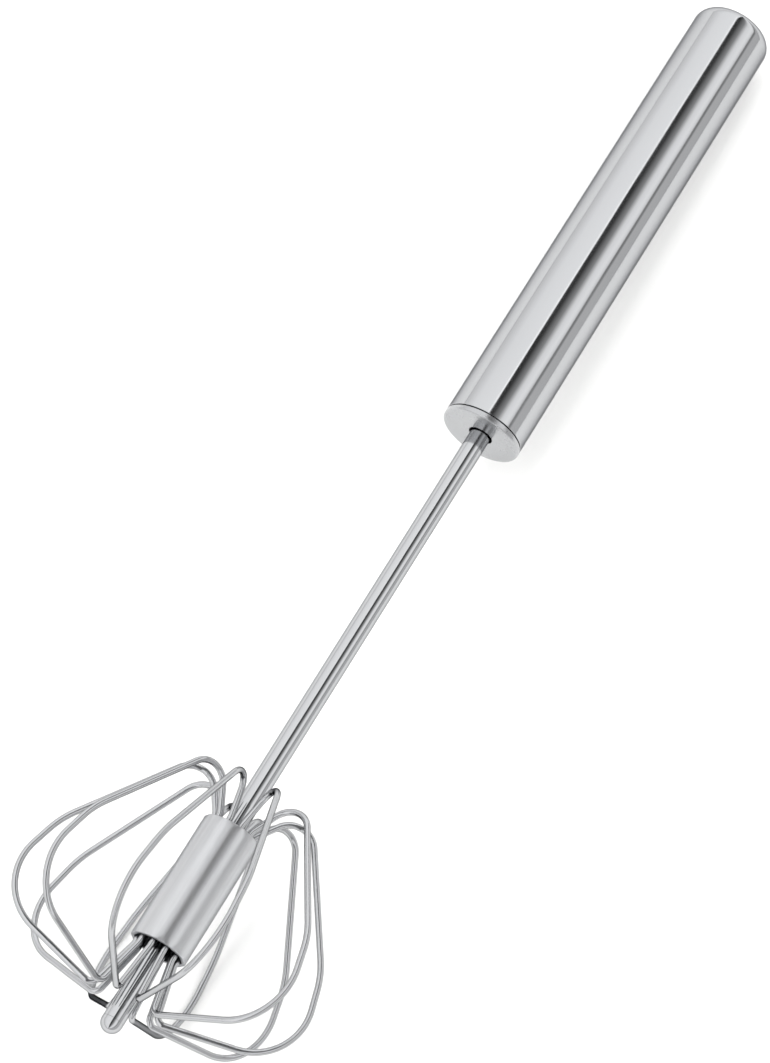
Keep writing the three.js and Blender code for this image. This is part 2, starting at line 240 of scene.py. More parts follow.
class StudioSettings(bpy.types.PropertyGroup):
    """The floor, the light and the camera."""

    floor: colour("Floor", "Colour of the floor", "F4F4F3")
    focal_length: number("Focal length", "Focal length of the camera in millimetres", 134.3)
    distance: length("Distance", "From the camera to the lower end of the handle", 931.7)
    right: length("Right", "How far that end lies to the right of the middle", 22.3)
    up: length("Up", "How far that end lies above the middle", 22.4)
    lean: angle("Lean", "How far the whisk leans to the right in the view", 32.3)
    tilt: angle("Tilt", "How far the foot comes towards the camera", 22.74)
    turn: angle("Turn", "The side of the whisk that is seen, from down towards +Y", 184.0)


class EggBeaterSettings(bpy.types.PropertyGroup):
    """All settings of the egg beater."""

    handle: bpy.props.PointerProperty(type=HandleSettings)
    drive: bpy.props.PointerProperty(type=DriveSettings)
    hub: bpy.props.PointerProperty(type=HubSettings)
    loops: bpy.props.PointerProperty(type=LoopSettings)
    studio: bpy.props.PointerProperty(type=StudioSettings)


# ---- Nodes ----


def add(tree, kind, wires=None, **settings):
    """Adds a node. wires gives its inputs, each by a value or by the socket that feeds it."""
    node = tree.nodes.new(kind)
    for key, value in settings.items():
        setattr(node, key, value)
    for key, value in (wires or {}).items():
        if isinstance(value, bpy.types.NodeSocket):
            tree.links.new(value, node.inputs[key])
        else:
            node.inputs[key].default_value = value
    return node


# ---- Materials ----


def whisk_coordinates(tree):
    """Object coordinates turned into the whisk's frame, in metres."""
    where = add(tree, "ShaderNodeTexCoord")
    turned_in = add(tree, "ShaderNodeMapping", {"Vector": where.outputs["Object"]})
    turned_in.inputs["Rotation"].default_value = TO_WHISK.to_euler()
    turned_in.inputs["Location"].default_value = TO_WHISK.translation
    return turned_in.outputs["Vector"]


def grain(tree, where, widths, detail=3):
    """Noise whose features are about `widths` metres wide along x, y and z."""
    scales = Vector([1 / width for width in widths])
    stretched = add(tree, "ShaderNodeMapping", {"Vector": where, "Scale": scales})
    wires = {"Vector": stretched.outputs["Vector"], "Scale": 1.0, "Detail": detail}
    return add(tree, "ShaderNodeTexNoise", wires).outputs["Fac"]


def ranged(tree, value, low, high):
    """A noise value spread from low to high."""
    wires = {"Value": value, "From Min": 0.3, "From Max": 0.7, "To Min": low, "To Max": high}
    return add(tree, "ShaderNodeMapRange", wires).outputs["Result"]


def bumped(tree, height, distance, normal=None):
    """A normal bumped by a height of that many metres."""
    wires = {"Height": height, "Distance": distance, "Strength": 1.0}
    if normal is not None:
        wires["Normal"] = normal
    return add(tree, "ShaderNodeBump", wires).outputs["Normal"]


def blended(tree, share, dark, light):
    """A colour between two others."""
    mixed = add(tree, "ShaderNodeMix", {0: share}, data_type="RGBA")
    mixed.inputs[6].default_value = (*dark, 1)
    mixed.inputs[7].default_value = (*light, 1)
    return mixed.outputs[2]


def shades(tone, spread):
    """A darker and a lighter shade of a colour."""
    return [c * (1 - spread) for c in tone], [min(1, c * (1 + spread)) for c in tone]


def new_material(name):
    """An empty node material: (material, tree, its shader)."""
    material = bpy.data.materials.new(name)
    material.use_nodes = True
    tree = material.node_tree
    return material, tree, tree.nodes["Principled BSDF"]


def wire_up(tree, shader, values):
    """Sets or links the inputs of a shader."""
    for key, value in values.items():
        if isinstance(value, bpy.types.NodeSocket):
            tree.links.new(value, shader.inputs[key])
        else:
            shader.inputs[key].default_value = value


def polished_stainless(tone):
    """Buffed stainless tube. It mirrors the room almost sharply. The drawn tube is slightly uneven,
    so straight reflections waver along it, and buffing leaves faint long lines and dull patches."""
    material, tree, shader = new_material("stainless_steel_buffed")
    where = whisk_coordinates(tree)
    lines = grain(tree, where, (0.35 * MM, 0.35 * MM, 30 * MM))
    patches = grain(tree, where, (9 * MM, 9 * MM, 22 * MM), 4)
    waver = grain(tree, where, (11 * MM, 11 * MM, 24 * MM), 1)
    dark, light = shades(tone, 0.025)
    normal = bumped(tree, waver, 0.060 * MM)
    values = {
        "Base Color": blended(tree, patches, dark, light),
        "Metallic": 1.0,
        "Roughness": ranged(tree, patches, 0.075, 0.13),
        "Normal": bumped(tree, lines, 0.0010 * MM, normal),
        # a dark edge colour: painted shade along the tube's outline
        "Specular Tint": PAINTED_EDGE_SHADE,
    }
    wire_up(tree, shader, values)
    return material


def turned_stainless(tone):
    """Polished stainless that was faced on a lathe. Fine rings about the axis spread the light."""
    material, tree, shader = new_material("stainless_steel_faced")
    where = whisk_coordinates(tree)
    axes = add(tree, "ShaderNodeSeparateXYZ", {0: where})
    flat = add(tree, "ShaderNodeCombineXYZ", {0: axes.outputs[0], 1: axes.outputs[1]})
    radius = add(tree, "ShaderNodeVectorMath", {0: flat.outputs[0]}, operation="LENGTH")
    ring = add(tree, "ShaderNodeCombineXYZ", {0: radius.outputs["Value"]})
    rings = grain(tree, ring.outputs[0], (0.22 * MM, 1, 1), 2)
    patches = grain(tree, where, (4 * MM, 4 * MM, 4 * MM), 3)
    dark, light = shades(tone, 0.02)
    values = {
        "Base Color": blended(tree, patches, dark, light),
        "Metallic": 1.0,
        "Roughness": ranged(tree, patches, 0.22, 0.30),
        "Normal": bumped(tree, rings, 0.0008 * MM),
    }
    wire_up(tree, shader, values)
    return material


def satin_stainless(tone):
    """Stainless sleeve brushed along its length: long hairlines, soft broad reflections."""
    material, tree, shader = new_material("stainless_steel_satin")
    where = whisk_coordinates(tree)
    hairs = grain(tree, where, (0.16 * MM, 0.16 * MM, 14 * MM), 4)
    streaks = grain(tree, where, (0.8 * MM, 0.8 * MM, 26 * MM), 3)
    dark, light = shades(tone, 0.10)
    values = {
        "Base Color": blended(tree, streaks, dark, light),
        "Metallic": 1.0,
        "Roughness": ranged(tree, hairs, 0.28, 0.40),
        # a dark edge colour: painted shade along the sleeve's outline
        "Specular Tint": PAINTED_EDGE_SHADE,
        "Normal": bumped(tree, hairs, 0.0035 * MM),
    }
    wire_up(tree, shader, values)
    return material


def drawn_wire(name, tone, smooth, rough):
    """Cold drawn wire. The die leaves fine lines that follow the wire, so the pattern is laid out
    along and around it. The wire shines in a narrow line, and its darker flanks are painted shade from
    a near-black edge colour."""
    material, tree, shader = new_material(name)
    along = add(tree, "ShaderNodeAttribute", attribute_name="along")
    around = add(tree, "ShaderNodeAttribute", attribute_name="around")
    turn = add(tree, "ShaderNodeMath", {0: around.outputs["Fac"], 1: math.tau}, operation="MULTIPLY")
    cosine = add(tree, "ShaderNodeMath", {0: turn.outputs[0]}, operation="COSINE")
    sine = add(tree, "ShaderNodeMath", {0: turn.outputs[0]}, operation="SINE")
    wires = {0: cosine.outputs[0], 1: sine.outputs[0], 2: along.outputs["Fac"]}
    where = add(tree, "ShaderNodeCombineXYZ", wires).outputs[0]
    lines = grain(tree, where, (0.16, 0.16, 12 * MM), 3)
    patches = grain(tree, where, (1.5, 1.5, 6 * MM), 3)
    dark, light = shades(tone, 0.06)
    values = {
        "Base Color": blended(tree, patches, dark, light),
        "Metallic": 1.0,
        "Roughness": ranged(tree, patches, smooth, rough),
        "Normal": bumped(tree, lines, 0.0015 * MM),
        # a near-black edge colour: painted shade on the wire's flanks
        "Specular Tint": PAINTED_WIRE_FLANK_SHADE,
    }
    wire_up(tree, shader, values)
    return material


def bright_wire(tone):
    """Bright drawn stainless wire, as the loops are bent from."""
    return drawn_wire("stainless_steel_wire_bright", tone, 0.12, 0.20)


def spring_wire():
    """Patented spring wire: darker and duller than the stainless, with a thin film of oil."""
    return drawn_wire("spring_steel_wire", linear("8C8D90"), 0.24, 0.36)


def spring_strip():
    """Rolled spring steel strip, with rolling lines along it."""
    material, tree, shader = new_material("spring_steel_rolled")
    where = whisk_coordinates(tree)
    lines = grain(tree, where, (0.2 * MM, 0.2 * MM, 9 * MM), 3)
    dark, light = shades(linear("9A9B9E"), 0.08)
    values = {
        "Base Color": blended(tree, lines, dark, light),
        "Metallic": 1.0,
        "Roughness": ranged(tree, lines, 0.22, 0.34),
        "Normal": bumped(tree, lines, 0.002 * MM),
    }
    wire_up(tree, shader, values)
    return material


def moulded(name, code, smooth, rough, grit):
    """Injection moulded plastic or rubber: a fine spark-eroded grain and slightly uneven gloss."""
    material, tree, shader = new_material(name)
    where = whisk_coordinates(tree)
    pores = grain(tree, where, (grit, grit, grit), 4)
    patches = grain(tree, where, (3 * MM, 3 * MM, 3 * MM), 3)
    dark, light = shades(linear(code), 0.07)
    values = {
        "Base Color": blended(tree, patches, dark, light),
        "Roughness": ranged(tree, patches, smooth, rough),
        "Normal": bumped(tree, pores, grit / 25),
    }
    wire_up(tree, shader, values)
    return material


def black_nylon():
    """Moulded nylon 6, black, with a dull waxy shine."""
    return moulded("nylon_black_moulded", "1D1D1F", 0.42, 0.55, 0.12 * MM)


def white_acetal():
    """Moulded acetal, natural white, a little glossy where the tool was polished."""
    return moulded("acetal_white_moulded", "E9E7E0", 0.30, 0.42, 0.2 * MM)


def nitrile_rubber():
    """Moulded nitrile rubber, matt and almost black."""
    return moulded("nitrile_rubber_moulded", "2B2B2C", 0.72, 0.86, 0.1 * MM)


def floor_paint(tone):
    """Matt studio floor paint, with the light stipple of a roller."""
    material, tree, shader = new_material("studio_paint_matt")
    where = add(tree, "ShaderNodeTexCoord").outputs["Object"]
    stipple = grain(tree, where, (3 * MM, 3 * MM, 3 * MM), 4)
    dark, light = shades(tone, 0.006)
    values = {
        "Base Color": blended(tree, stipple, dark, light),
        "Roughness": ranged(tree, stipple, 0.82, 0.9),
        "Normal": bumped(tree, stipple, 0.01 * MM),
    }
    wire_up(tree, shader, values)
    return material


# ---- Meshes ----


def rounded(corners, closed, step):
    """Points along straight stretches between corners (a, b, rounding), with each corner rounded."""
    last = len(corners)
    points = []
    for i, (a, b, radius) in enumerate(corners):
        corner = Vector((a, b))
        if radius <= 0 or (not closed and i in (0, last - 1)):
            points.append(corner)
            continue
        back = (Vector(corners[i - 1][:2]) - corner).normalized()
        on = (Vector(corners[(i + 1) % last][:2]) - corner).normalized()
        half = back.angle(on) / 2
        centre = corner + (back + on).normalized() * (radius / math.sin(half))
        start = corner + back * (radius / math.tan(half)) - centre
        turn = math.copysign(math.pi - 2 * half, on.x * back.y - on.y * back.x)
        steps = max(2, math.ceil(abs(turn) / step))
        for k in range(steps + 1):
            points.append(centre + Matrix.Rotation(turn * k / steps, 2) @ start)
    return points


def linked(name, data):
    """A new object in the scene."""
    obj = bpy.data.objects.new(name, data)
    bpy.context.scene.collection.objects.link(obj)
    return obj


def skin(work, rings, closed=False):
    """Joins each ring of points to the next, and the last to the first if the rings close."""
    pairs = list(zip(rings, rings[1:]))
    if closed:
        pairs.append((rings[-1], rings[0]))
    for low, high in pairs:
        for k in range(len(low)):
            on = (k + 1) % len(low)
            work.faces.new((low[k], low[on], high[on], high[k]))


def finish_mesh(work, name):
    """An object from a bmesh in the whisk's frame, with its place in the mesh and edges kept crisp."""
    bmesh.ops.remove_doubles(work, verts=work.verts, dist=WELD_DISTANCE)
    bmesh.ops.recalc_face_normals(work, faces=work.faces)
    mesh = bpy.data.meshes.new(name)
    work.to_mesh(mesh)
    work.free()
    return place(mesh, name)


def place(mesh, name):
    """Puts a mesh made in the whisk's frame into the row frame, as a new object."""
    mesh.transform(WHISK)
    obj = linked(name, mesh)
    crisp(obj)
    return obj


def crisp(obj):
    """Smooth shading that stays crisp at sharp edges."""
    obj.data.polygons.foreach_set("use_smooth", [True] * len(obj.data.polygons))
    obj.data.set_sharp_from_angle(angle=SHARP_ANGLE)


def lathe(name, corners, segments=SEGMENTS, shape=None):
    """A turned piece. corners are (radius, height, rounding), up the outside and down the inside,
    and start and end on the axis or run in a ring. shape moves each point, if it is given."""
    closed = corners[0][0] > 0
    outline = rounded(corners, closed, ROUND_STEP)
    work = bmesh.new()
    rings = []
    for radius, height in outline:
        ring = []
        for k in range(segments):
            point = Vector((radius, 0, height))
            point.rotate(Matrix.Rotation(math.tau * k / segments, 3, "Z"))
            ring.append(work.verts.new(shape(point) if shape else point))
        rings.append(ring)
    skin(work, rings, closed)
    return finish_mesh(work, name)


def drilled(obj, cutter):
    """Cuts one object from another and removes the cutter."""
    modifier = obj.modifiers.new("hole", "BOOLEAN")
    modifier.operation = "DIFFERENCE"
    modifier.solver = "EXACT"
    modifier.object = cutter
    settle(obj)
    bpy.data.objects.remove(cutter)
    crisp(obj)


def settle(obj):
    """Turns an object's modifiers into its own mesh."""
    graph = bpy.context.evaluated_depsgraph_get()
    mesh = bpy.data.meshes.new_from_object(
        obj.evaluated_get(graph), preserve_all_data_layers=True, depsgraph=graph
    )
    obj.modifiers.clear()
    obj.data = mesh


def cross_pin(name, centre, direction, radius, reach, edge):
    """A round pin across the axis, in the whisk's frame."""
    corners = [
        (0, -reach, 0),
        (radius, -reach, edge),
        (radius, reach, edge),
        (0, reach, 0),
    ]
    turned_to = Vector((0, 0, 1)).rotation_difference(direction).to_matrix()
    return lathe(name, corners, PIN_SEGMENTS, lambda point: centre + turned_to @ point)


def smoothed_copy(node, name):
    """A merged copy of a CAD node whose round sides shade as round."""
    mesh = frame["nodes"][node].data.copy()
    mesh.materials.clear()
    work = bmesh.new()
    work.from_mesh(mesh)
    bmesh.ops.remove_doubles(work, verts=work.verts, dist=WELD_DISTANCE)
    work.to_mesh(mesh)
    work.free()
    obj = linked(name, mesh)
    crisp(obj)
    return obj


def dress(obj, material, body, slot, *nodes):
    """Gives a piece its material and its body, and hides the CAD nodes that it stands for; its slot is
    not used.
    """
    if material is not None:
        obj.data.materials.clear()
        obj.data.materials.append(material)
    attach(obj, body)
    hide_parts(*nodes)


# ---- Geometry Nodes ----


def new_tree(name, inputs):
    """An empty Geometry Nodes tree with named inputs: (tree, group input, group output)."""
    tree = bpy.data.node_groups.new(name, "GeometryNodeTree")
    tree.interface.new_socket("Geometry", in_out="INPUT", socket_type="NodeSocketGeometry")
    for label, kind in inputs:
        tree.interface.new_socket(label, in_out="INPUT", socket_type=kind)
    tree.interface.new_socket("Geometry", in_out="OUTPUT", socket_type="NodeSocketGeometry")
    return tree, add(tree, "NodeGroupInput"), add(tree, "NodeGroupOutput")


def wire_sweep(tree, path, wire, sides):
    """Sweeps a round wire along a curve and stores where each point is along and around it."""
    walk = add(tree, "GeometryNodeSplineParameter")
    wires = {"Geometry": path, "Name": "along", "Value": walk.outputs["Length"]}
    marked = add(tree, "GeometryNodeStoreNamedAttribute", wires, data_type="FLOAT", domain="POINT")
    radius = add(tree, "ShaderNodeMath", {0: wire, 1: 2.0}, operation="DIVIDE")
    circle = add(tree, "GeometryNodeCurvePrimitiveCircle", {"Resolution": sides})
    tree.links.new(radius.outputs[0], circle.inputs["Radius"])
    turn = add(tree, "GeometryNodeSplineParameter")
    wires = {"Geometry": circle.outputs["Curve"], "Name": "around", "Value": turn.outputs["Factor"]}
    section = add(tree, "GeometryNodeStoreNamedAttribute", wires, data_type="FLOAT", domain="POINT")
    wires = {
        "Curve": marked.outputs["Geometry"],
        "Profile Curve": section.outputs["Geometry"],
        "Fill Caps": True,
    }
    return add(tree, "GeometryNodeCurveToMesh", wires).outputs["Mesh"]


def end_tree(tree, given, leave, geometry):
    """Ends a tree in real geometry with its material."""
    real = add(tree, "GeometryNodeRealizeInstances", {"Geometry": geometry})
    wires = {"Geometry": real.outputs["Geometry"], "Material": given.outputs["Material"]}
    painted = add(tree, "GeometryNodeSetMaterial", wires)
    tree.links.new(painted.outputs["Geometry"], leave.inputs["Geometry"])


def loop_tree():
    """Turns the path of one wire loop into a ring of loops about Z."""
    inputs = [
        ("Loops", "NodeSocketInt"),
        ("Wire", "NodeSocketFloat"),
        ("Material", "NodeSocketMaterial"),
    ]
    tree, given, leave = new_tree("ring_of_wire_loops", inputs)
    path = add(tree, "GeometryNodeMeshToCurve", {"Mesh": given.outputs["Geometry"]})
    loop = wire_sweep(tree, path.outputs["Curve"], given.outputs["Wire"], WIRE_SIDES)
    points = add(tree, "GeometryNodePoints", {"Count": given.outputs["Loops"]})
    index = add(tree, "GeometryNodeInputIndex")
    half = add(tree, "ShaderNodeMath", {0: index.outputs[0], 1: 0.5}, operation="ADD")
    wires = {0: half.outputs[0], 1: given.outputs["Loops"]}
    share = add(tree, "ShaderNodeMath", wires, operation="DIVIDE")
    turn = add(tree, "ShaderNodeMath", {0: share.outputs[0], 1: math.tau}, operation="MULTIPLY")
    spin = add(tree, "ShaderNodeCombineXYZ", {2: turn.outputs[0]})
    wires = {"Points": points.outputs[0], "Instance": loop, "Rotation": spin.outputs[0]}
    ring = add(tree, "GeometryNodeInstanceOnPoints", wires)
    end_tree(tree, given, leave, ring.outputs["Instances"])
    return tree


def spring_tree():
    """A compression spring about Z, from z = 0 up, whose end coils lie close."""
    inputs = [
        ("Turns", "NodeSocketFloat"),
        ("Radius", "NodeSocketFloat"),
        ("Height", "NodeSocketFloat"),
        ("Wire", "NodeSocketFloat"),
        ("Material", "NodeSocketMaterial"),
    ]
    tree, given, leave = new_tree("compression_spring", inputs)
    line = add(tree, "GeometryNodeCurvePrimitiveLine")
    wires = {"Curve": line.outputs["Curve"], "Count": SPRING_POINTS}
    spread = add(tree, "GeometryNodeResampleCurve", wires)
    walk = add(tree, "GeometryNodeSplineParameter").outputs["Factor"]
    end = add(tree, "ShaderNodeMath", {0: 1.0, 1: given.outputs["Turns"]}, operation="DIVIDE")
    far = add(tree, "ShaderNodeMath", {0: 1.0, 1: end.outputs[0]}, operation="SUBTRACT")
    wires = {0: given.outputs["Wire"], 1: CLOSE_COIL_PITCH}
    close = add(tree, "ShaderNodeMath", wires, operation="MULTIPLY")
    twice = add(tree, "ShaderNodeMath", {0: close.outputs[0], 1: 2.0}, operation="MULTIPLY")
    wires = {0: given.outputs["Height"], 1: twice.outputs[0]}
    open_height = add(tree, "ShaderNodeMath", wires, operation="SUBTRACT")
    stretches = [
        (0.0, end.outputs[0], close.outputs[0]),
        (end.outputs[0], far.outputs[0], open_height.outputs[0]),
        (far.outputs[0], 1.0, close.outputs[0]),
    ]
    rise = 0.0
    for low, high, climb in stretches:
        wires = {"Value": walk, "From Min": low, "From Max": high, "To Min": 0.0, "To Max": climb}
        part = add(tree, "ShaderNodeMapRange", wires)
        total = add(tree, "ShaderNodeMath", {0: rise, 1: part.outputs["Result"]}, operation="ADD")
        rise = total.outputs[0]
    wires = {0: walk, 1: given.outputs["Turns"]}
    turned_by = add(tree, "ShaderNodeMath", wires, operation="MULTIPLY")
    turn = add(tree, "ShaderNodeMath", {0: turned_by.outputs[0], 1: math.tau}, operation="MULTIPLY")
    flat = []
    for operation in ("COSINE", "SINE"):
        wave = add(tree, "ShaderNodeMath", {0: turn.outputs[0]}, operation=operation)
        wires = {0: wave.outputs[0], 1: given.outputs["Radius"]}
        flat.append(add(tree, "ShaderNodeMath", wires, operation="MULTIPLY").outputs[0])
    at = add(tree, "ShaderNodeCombineXYZ", {0: flat[0], 1: flat[1], 2: rise})
    wires = {"Geometry": spread.outputs["Curve"], "Position": at.outputs[0]}
    coil = add(tree, "GeometryNodeSetPosition", wires)
    swept = wire_sweep(tree, coil.outputs[0], given.outputs["Wire"], SPRING_SIDES)
    end_tree(tree, given, leave, swept)
    return tree


def grow(name, start, tree, values):
    """Runs a Geometry Nodes tree on a start mesh and returns the result in the row frame."""
    obj = linked(name, start)
    modifier = obj.modifiers.new("grow", "NODES")
    modifier.node_group = tree
    sockets = {s.name: s for s in tree.interface.items_tree if s.in_out == "INPUT"}
    for label, value in values.items():
        modifier[sockets[label].identifier] = value
    settle(obj)
    obj.data.transform(WHISK)
    crisp(obj)
    return obj


# ---- Handle ----


def make_handle(sizes):
    """The drawn tube, closed and rounded at its top."""
    mouth, bore, radius = levels("handle_tube")[0]
    top = levels("handle_tube")[-1][0]
    wall = radius - bore
    edge = sizes.edge_rounding
    corners = [
        (0, top - wall, 0),
        (bore, top - wall, sizes.top_rounding - wall),
        (bore, mouth, edge / 3),
        (radius, mouth, edge / 2),
        (radius, top, sizes.top_rounding),
        (0, top, 0),
    ]
    shell = lathe("handle_shell", corners)
    dress(shell, polished_stainless(sizes.steel), "handle", "polished_steel", "handle_tube")


def make_end_cap(sizes):
    """The cap in the mouth of the tube, with a lip as wide as the tube and a dished face."""
    steps = levels("end_cap")
    face, mouth = steps[0][0], steps[0][1]
    radius = max(step[2] for step in steps)
    top, bore, spigot = steps[-1][0], steps[-1][1], steps[-2][2]
    ledge = max(height for height, least, most in steps if least < bore - STEP_TOLERANCE)
    lip = max(height for height, least, most in steps if most > spigot + STEP_TOLERANCE)
    edge = sizes.edge_rounding
    corners = [
        (mouth, face + sizes.face_dish, edge / 2),
        (radius * 0.72, face, radius / 3),
        (radius, face, 2 * edge),
        (radius, lip, edge / 2),
        (spigot, lip, 0),
        (spigot, top, edge),
        (bore, top, edge / 3),
        (bore, ledge, 0),
        (mouth, ledge, 0),
    ]
    cap = lathe("handle_cap", corners)
    dress(cap, turned_stainless(sizes.face), "handle", "polished_steel", "end_cap")


def make_bush(sizes, nylon):
    """The flanged bush in which the shaft slides, with an eased mouth."""
    steps = levels("shaft_bush")
    bottom, bore, sleeve = steps[0]
    under, top, flange = steps[1][0], steps[-1][0], steps[-1][2]
    edge = sizes.edge_rounding
    corners = [
        (bore, bottom, edge),
        (sleeve, bottom, edge),
        (sleeve, under, 0),
        (flange, under, edge / 2),
        (flange, top, edge),
        (bore, top, edge),
    ]
    dress(lathe("slide_bush", corners), nylon, "handle", "black_nylon", "shaft_bush")


def plain_ring(name, node, edge):
    """A ring with rounded edges in the place of a CAD washer or tube."""
    steps = levels(node)
    bottom, bore, radius = steps[0]
    top = steps[-1][0]
    corners = [
        (bore, bottom, edge),
        (radius, bottom, edge),
        (radius, top, edge),
        (bore, top, edge),
    ]
    return lathe(name, corners, SEGMENTS_INSIDE)


# ---- Drive ----


def make_strip(sizes):
    """The twisted strip, with rolled edges and a hole for the cross pin."""
    steps = levels("drive_strip")
    bottom, corner = steps[0][0], steps[0][2]
    top = steps[-1][0]
    y = sizes.strip_thickness / 2
    x = math.sqrt(corner * corner - y * y)
    edge = y / 2
    section = rounded([(-x, -y, edge), (x, -y, edge), (x, y, edge), (-x, y, edge)], True, ROUND_STEP)
    count_of_steps = math.ceil((top - bottom) / sizes.strip_lead * STRIP_STEPS_PER_TURN)
    work = bmesh.new()
    rings = []
    for i in range(count_of_steps + 1):
        height = bottom + (top - bottom) * i / count_of_steps
        turn = Matrix.Rotation(math.tau * height / sizes.strip_lead, 2)
        points = [turn @ p for p in section]
        rings.append([work.verts.new((p.x, p.y, height)) for p in points])
    skin(work, rings)
    work.faces.new(reversed(rings[0]))
    work.faces.new(rings[-1])
    strip = finish_mesh(work, "twisted_strip")
    centre, direction, radius, _ = pin_place()
    hole = cross_pin("hole", centre, direction, radius + PIN_HOLE_CLEARANCE, 4 * y, 0)
    drilled(strip, hole)
    dress(strip, spring_strip(), "handle", "spring_steel", "drive_strip")


def pin_place():
    """Centre, direction, radius and half length of the CAD cross pin, in the whisk's frame."""
    corners = corners_of("anchor_pin")
    centre = sum(corners, Vector()) / len(corners)
    spokes = [corner - centre for corner in corners]
    far = max(spokes, key=lambda spoke: spoke.length)
    direction = Vector()
    for spoke in spokes:
        direction += spoke * math.copysign(1, spoke.dot(far))
    direction.z = 0
    direction.normalize()
    reach = max(abs(spoke.dot(direction)) for spoke in spokes)
    radius = max((spoke - direction * spoke.dot(direction)).length for spoke in spokes)
    return centre, direction, radius, reach


def make_pin():
    """The cross pin that holds the strip in its anchor."""
    centre, direction, radius, reach = pin_place()
    pin = cross_pin("cross_pin", centre, direction, radius, reach, radius / 4)
    dress(pin, spring_strip(), "handle", "spring_steel", "anchor_pin")


def make_spring(sizes):
    """The return spring, made at its rest length on the handle; the real one closes up as the handle
    is pressed, which this one does not.
    """
    corners = corners_of("return_spring")
    radii = [math.hypot(corner.x, corner.y) for corner in corners]
    heights = [corner.z for corner in corners]
    wire = sizes.spring_wire
    radius = (min(radii) + max(radii)) / 2
    bottom = levels("spring_seat")[-1][0]
    top = levels("strip_anchor")[0][0]
    low, high = min(heights) + wire / 2, max(heights) - wire / 2
    values = {
        "Turns": float(sizes.spring_turns),
        "Radius": radius,
        "Height": high - low,
        "Wire": wire,
        "Material": spring_wire(),
    }
    spring = grow("coil_spring", bpy.data.meshes.new("coil_spring"), spring_tree(), values)
    spring.data.transform(Matrix.Translation(AXIS * low))
    dress(spring, None, "handle", "spring_steel", "return_spring")
    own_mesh(spring)


# ---- Shaft and foot ----


def make_shaft(tone):
    """The rounded foot, and the hollow shaft that reaches down to it."""
    steel = polished_stainless(tone)
    steps = levels("foot_plug")
    tip, top, stem = steps[0][0], steps[-1][0], steps[-1][2]
    radius = max(step[2] for step in steps)
    rim = max(height for height, least, most in steps if most > stem + STEP_TOLERANCE)
    corners = [
        (0, tip, 0),
        (radius, tip, radius * 0.98),
        (radius, rim, FOOT_JOINT_EDGE),
        (stem, rim, 0),
        (stem, top, FOOT_STEM_EDGE),
        (0, top, 0),
    ]
    dress(lathe("foot_tip", corners), steel, "beater", "polished_steel", "foot_plug")
    _, bore, outside = levels("shaft_tube")[0]
    high = levels("shaft_tube")[-1][0]
    joint = rim + FOOT_JOINT_EDGE
    corners = [
        (bore, joint, 0),
        (outside, joint, FOOT_JOINT_EDGE),
        (outside, high, SHAFT_EDGE),
        (bore, high, SHAFT_EDGE),
    ]
    dress(lathe("slide_shaft", corners), steel, "beater", "polished_steel", "shaft_tube")


# ---- Hub and loops ----


def make_sleeve(sizes, loops):
    """The sleeve round the wires. Both rims are pressed in between the wires."""
    steps = levels("hub_sleeve")
    bottom, top = steps[0][0], steps[-1][0]
    bore = min(step[1] for step in steps)
    radius = max(step[2] for step in steps)

    def crimped(point):
        """Presses a point in near the rims, most of all midway between two wires."""
        near = min(point.z - bottom, top - point.z)
        ramp = max(0.0, 1 - near / sizes.crimp_length)
        around = math.atan2(point.y, point.x) * loops
        between = (1 + math.cos(around)) / 2
        press = sizes.crimp_depth * ramp * ramp * between
        scale = 1 - press / math.hypot(point.x, point.y)
        return Vector((point.x * scale, point.y * scale, point.z))

    rise = [sizes.crimp_length * k / CRIMP_STAGES for k in range(1, CRIMP_STAGES + 1)]
    out = [(radius, bottom + step, 0) for step in rise]
    out += [(radius, top - step, 0) for step in reversed(rise)]
    back = [(bore, point[1], 0) for point in reversed(out)]
    corners = [
        (radius, bottom, SLEEVE_EDGE * 0.8),
        *out,
        (radius, top, SLEEVE_EDGE * 0.8),
        (bore, top, SLEEVE_EDGE / 2),
        *back,
        (bore, bottom, SLEEVE_EDGE / 2),
    ]
    return lathe("wire_sleeve", corners, SLEEVE_SEGMENTS, crimped)


def loop_path(sizes, hub_bottom, hub_top):
    """The path of one loop in its own plane, as (radius, height) points."""
    ends = [
        (hub_top, SHOULDER),
        (hub_bottom, FLANK),
        (hub_bottom, BELLY),
        (hub_bottom, HEEL),
    ]
    corners = [
        (sizes.ring, hub_top - sizes.leg_depth, 0),
        (sizes.ring, hub_top + LEG_STANDOFF * MM, LEG_BEND * MM),
    ]
    for end, (out, above, bend) in ends:
        corners.append((sizes.ring + out * MM, end + above * MM, bend * MM))
    corners += [
        (sizes.ring, hub_bottom - LEG_STANDOFF * MM, LEG_BEND * MM),
        (sizes.ring, hub_bottom + sizes.leg_depth, 0),
    ]
    return rounded(corners, False, BEND_STEP)


def make_loops(sizes):
    """The ring of wire loops."""
    steps = levels("hub_sleeve")
    points = loop_path(sizes, steps[0][0], steps[-1][0])
    start = bpy.data.meshes.new("wire_cage")
    corners = [(radius, 0, height) for radius, height in points]
    start.from_pydata(corners, [(i, i + 1) for i in range(len(corners) - 1)], [])
    values = {"Loops": sizes.loops, "Wire": sizes.wire, "Material": bright_wire(sizes.steel)}
    cage = grow("wire_cage", start, loop_tree(), values)
    nodes = [f"wire_loop_{i + 1}" for i in range(sizes.loops)]
    dress(cage, None, "beater", "wire_steel", *nodes)


# ---- Studio ----


def make_floor(sizes):
    """A wide, plain floor under the whisk."""
    work = bmesh.new()
    cells = FLOOR_CELLS
    bmesh.ops.create_grid(work, x_segments=cells, y_segments=cells, size=FLOOR_HALF_WIDTH)
    mesh = bpy.data.meshes.new("studio_floor")
    work.to_mesh(mesh)
    work.free()
    mesh.materials.append(floor_paint(sizes.floor))
    linked("studio_floor", mesh)


